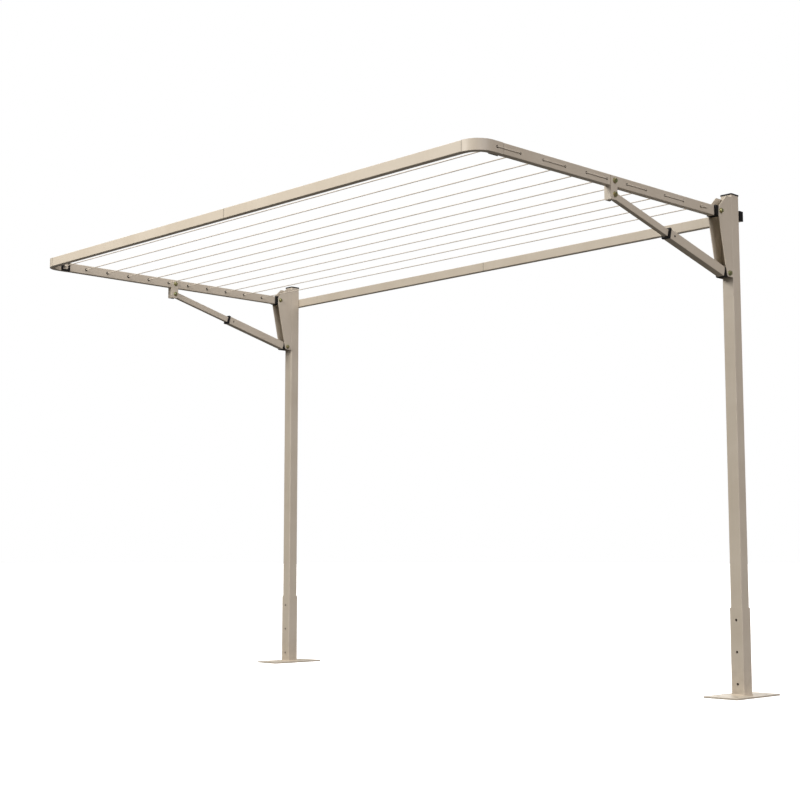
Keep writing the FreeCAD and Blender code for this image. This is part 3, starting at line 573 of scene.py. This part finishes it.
def weld_ring(side):
    """Fillet weld round the foot of the socket, with the ripples of each pass."""
    socket_low, socket_high = low_high(f"base_socket_{side}")
    origin = (socket_low + socket_high) / 2
    size, step_length, ripple_pitch, sunk = 0.0046, 0.0012, 0.0042, 0.0002
    outline = rounded_square((socket_high.x - socket_low.x) / 2, 0.003, 8)
    path = []
    for a, b in zip(outline, outline[1:] + outline[:1]):
        count = max(1, round((b - a).length / step_length))
        path += [a.lerp(b, k / count) for k in range(count)]

    def build(made):
        def vertex(point, z):
            return made.verts.new((origin.x + point.x, origin.y + point.y, z))

        rings = []
        travel = 0.0
        for index, point in enumerate(path):
            after = path[(index + 1) % len(path)]
            way = (after - path[index - 1]).normalized()
            out = Vector((way.y, -way.x))
            ripple = 1.0 + 0.10 * abs(math.sin(travel * math.pi / ripple_pitch))
            ripple += 0.06 * math.sin(travel * 97.0)
            ring = []
            for k in range(7):
                angle = math.pi / 2 * k / 6
                bulge = size * ripple * (1.0 - 0.16 * math.sin(2 * angle))
                aside = out * (bulge * math.cos(angle) - 2 * sunk)
                ring.append(vertex(point + aside, socket_low.z - sunk + bulge * math.sin(angle)))
            ring.append(vertex(point - out * 5 * sunk, socket_low.z - sunk))
            rings.append(ring)
            travel += (after - point).length
        for a, b in zip(rings, rings[1:] + rings[:1]):
            join_rings(made, a, b)

    bead = piece(f"socket_weld_{side}", build, "ground_frame", "powder_coat", angle=80.0)
    bead.data.materials[0] = WELD


def latch_button(side, sign):
    """Snap button that stands in the latch hole on the strut's outer side."""
    along = Vector((0, PIN_Y - FOOT_Y, PIN_Z - FOOT_Z)).normalized()
    face = sign * (HALF_SPACING + STRUT_HALF)
    origin = Vector((face, FOOT_Y, FOOT_Z)) + along * LATCH_FROM_FOOT
    turn = axis_turn(origin, (sign, 0, 0))
    radius = LATCH_HOLE / 2 - 0.0003
    profile = [(-0.004, 0.0), (-0.004, radius), (0.0006, radius), (0.0012, radius * 0.93),
               (0.0017, radius * 0.75), (0.0021, radius * 0.45), (0.0022, 0.0)]
    piece(f"strut_latch_button_{side}", lambda made: lathe(made, profile, 28, turn),
          f"strut_tube_{side}", "black_plastic")


WELD = weld_metal()
for side_name, side_sign in SIDES.items():
    post_cap(side_name)
    weld_ring(side_name)
    latch_button(side_name, side_sign)

# ---------------------------------------------------------------- the line

def line_route():
    """The route of the one continuous line, from the left knot to its free tail."""
    face = HALF_SPACING + TUBE_HALF
    knot_face = face + CORD_CLEAR
    on_face = knot_face + CORD / 2
    over_yoke = face + YOKE_STEEL + 0.0005 + CORD / 2
    lift = WASHER + CORD / 2 + 0.0015
    beside_yoke = 0.0215
    through_arm = 0.024
    knot_high = 0.0065
    tail_x, tail_bend, tail_length = knot_face + 0.00425, 0.012, 0.0375
    first, last = LINE_HOLES[0], LINE_HOLES[-1]
    points = [Vector((-knot_face - knot_high, first, LINE_HEIGHT)),
              Vector((-knot_face, first, LINE_HEIGHT)),
              Vector((-face + through_arm, first, LINE_HEIGHT))]
    side = 1
    for y, following in zip(LINE_HOLES, LINE_HOLES[1:]):
        crosses_yoke = side < 0 and y < -YOKE_REACH < following
        x = side * (over_yoke if crosses_yoke else on_face)
        inside = x - side * NEAR_EDGE
        points.append(Vector((inside, y, LINE_HEIGHT)))
        points.append(Vector((x, y, LINE_HEIGHT)))
        if crosses_yoke:
            points.append(Vector((x, -YOKE_REACH - beside_yoke, LINE_HEIGHT + lift)))
            points.append(Vector((x, -YOKE_REACH + beside_yoke, LINE_HEIGHT + lift)))
        else:
            points.append(Vector((x, y + NEAR_EDGE, LINE_HEIGHT)))
            points.append(Vector((x, following - NEAR_EDGE, LINE_HEIGHT)))
        points.append(Vector((x, following, LINE_HEIGHT)))
        points.append(Vector((inside, following, LINE_HEIGHT)))
        side = -side
    points += [Vector((face - through_arm, last, LINE_HEIGHT)),
               Vector((knot_face, last, LINE_HEIGHT)),
               Vector((tail_x, last, LINE_HEIGHT)),
               Vector((tail_x, last + tail_bend, LINE_HEIGHT)),
               Vector((tail_x, last + tail_length, LINE_HEIGHT))]
    return points


def line_hole_shade_eyelets(side, sign):
    """Dark eyelets in the line holes on the inner face of an arm, each a sleeve and a rim; their
    black also stands in as painted shade for the dark inside of the holes.
    """
    sunk, rounding = 0.001, 0.0008
    sleeve, edge = EYELET_BORE + 0.002, EYELET_PROUD * 0.6
    profile = [(-sunk, EYELET_BORE), (-sunk, sleeve), (0.0, sleeve), (0.0, EYELET_RIM),
               (edge, EYELET_RIM), (EYELET_PROUD, EYELET_RIM - rounding),
               (EYELET_PROUD, EYELET_BORE + rounding), (edge, EYELET_BORE),
               (-sunk, EYELET_BORE)]

    def build(made):
        for y in LINE_HOLES:
            origin = Vector((sign * (HALF_SPACING - TUBE_HALF), y, LINE_HEIGHT))
            lathe(made, profile, 24, axis_turn(origin, (-sign, 0, 0)))

    piece(f"line_hole_shade_eyelets_{side}", build, "line_frame", "black_plastic")


def cord_curve(name, points, diameter):
    """One smooth open spline through the route, round in section."""
    data = bpy.data.curves.new(name, "CURVE")
    data.dimensions = "3D"
    data.resolution_u = 6
    data.bevel_depth = diameter / 2
    data.bevel_resolution = 3
    data.use_fill_caps = True
    spline = data.splines.new("NURBS")
    spline.points.add(len(points) - 1)
    for target, point in zip(spline.points, points):
        target.co = (*point, 1.0)
    spline.order_u = 3
    spline.use_endpoint_u = True
    obj = bpy.data.objects.new(name, data)
    bpy.context.scene.collection.objects.link(obj)
    data.materials.append(FINISHES["line_cord"])
    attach(obj, "line_frame")
    return obj


def stopper_knot(side, sign):
    """Double overhand stopper: the cord wound round itself twice outside the arm."""
    node = f"line_knot_{side}"
    low, high = low_high(node)
    middle = (low + high) / 2
    turns, steps, margin = 2.2, 46, 0.0002
    wound = CORD * 0.98
    length = (high.x - low.x) - CORD - 2 * margin
    start = -length / 2
    tucked = 0.04
    points = []
    for k in range(steps + 1):
        share = k / steps
        angle = 2 * math.pi * turns * share
        radius = wound * (0.96 if tucked < share < 1 - tucked else 0.80)
        points.append(middle + Vector((sign * (start + length * share),
                                       radius * math.cos(angle), radius * math.sin(angle))))
    knot = cord_curve(f"{node}_wound", points, CORD)
    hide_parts(node)
    return knot


def clothes_line():
    """The whole line: one cord with its eleven runs, and the knots at its ends."""
    knots = [stopper_knot(side, sign) for side, sign in SIDES.items()]
    points = line_route()
    line = cord_curve("clothes_line_cord", points, CORD)
    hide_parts("clothes_line", "line_tail")


for side_name, side_sign in SIDES.items():
    line_hole_shade_eyelets(side_name, side_sign)
clothes_line()

# ---------------------------------------------------------------- stage


FLOOR_SIZE = 600.0
SURROUND = (1.0, 0.94, 0.87, 1.0)
SURROUND_LEVEL = 0.15
WHITE = (1.0, 1.0, 1.0, 1.0)


def floor():
    """A wide pale floor; what the object takes from below comes from the surround."""
    bpy.ops.mesh.primitive_plane_add(size=FLOOR_SIZE, location=(0, 0, cad_box[0][2]))
    plane = bpy.context.object
    plane.name = "floor"
    plane.data.materials.append(pale_floor())
    plane.visible_diffuse = False
    plane.visible_glossy = False


def add_light(name, data, power, colour, location, aim):
    """Place a light that shines along aim."""
    data.energy = power
    data.color = colour
    light = bpy.data.objects.new(name, data)
    light.location = location
    light.rotation_euler = aim.to_track_quat("-Z", "Y").to_euler()
    bpy.context.scene.collection.objects.link(light)


def sun(name, towards, spread, strength, colour):
    """A far soft light; towards points from the object to the light."""
    data = bpy.data.lights.new(name, "SUN")
    data.angle = math.radians(spread)
    add_light(name, data, strength, colour, towards, -Vector(towards))


def area_light(name, location, target, size, power, colour):
    """A round soft box at a place, aimed at a target."""
    data = bpy.data.lights.new(name, "AREA")
    data.shape = "DISK"
    data.size = size
    add_light(name, data, power, colour, location, Vector(target) - Vector(location))


def surround():
    """Dim warm surround for the object, seen by the camera as plain white."""
    world = bpy.data.worlds.new("surround")
    bpy.context.scene.world = world
    world.use_nodes = True
    nodes, links = world.node_tree.nodes, world.node_tree.links
    around = nodes["Background"]
    seen = nodes.new("ShaderNodeBackground")
    for background, colour, level in ((around, SURROUND, SURROUND_LEVEL), (seen, WHITE, 1.0)):
        background.inputs["Color"].default_value = colour
        background.inputs["Strength"].default_value = level
    path = nodes.new("ShaderNodeLightPath")
    both = nodes.new("ShaderNodeMixShader")
    links.new(path.outputs["Is Camera Ray"], both.inputs["Fac"])
    links.new(around.outputs["Background"], both.inputs[1])
    links.new(seen.outputs["Background"], both.inputs[2])
    links.new(both.outputs["Shader"], nodes["World Output"].inputs["Surface"])


def lights():
    """Key box high in front, a fill from the right, a soft top light and one behind."""
    area_light("key", (-0.6, -5.4, 4.0), (0.0, -0.9, 1.4), 2.2, 235.0, (1.0, 0.98, 0.95))
    sun("fill", (0.92, -0.20, 0.32), 45.0, 1.60, (1.0, 0.97, 1.0))
    sun("top", (-0.10, -0.15, 1.0), 50.0, 1.7, (1.0, 0.985, 0.96))
    sun("back", (-0.45, 1.0, 0.35), 50.0, 0.9, (1.0, 0.98, 0.95))
    surround()
    bpy.context.scene.view_settings.view_transform = "Standard"


def camera():
    """Low view from the front right, looking a little upwards."""
    data = bpy.data.cameras.new("camera")
    data.lens = 65.25
    data.sensor_width = 36.0
    obj = bpy.data.objects.new("camera", data)
    obj.location = (4.49, -4.83, 0.51)
    obj.rotation_euler = (math.radians(96.37), 0.0, math.radians(46.1))
    bpy.context.scene.collection.objects.link(obj)
    bpy.context.scene.camera = obj


floor()
lights()
camera()
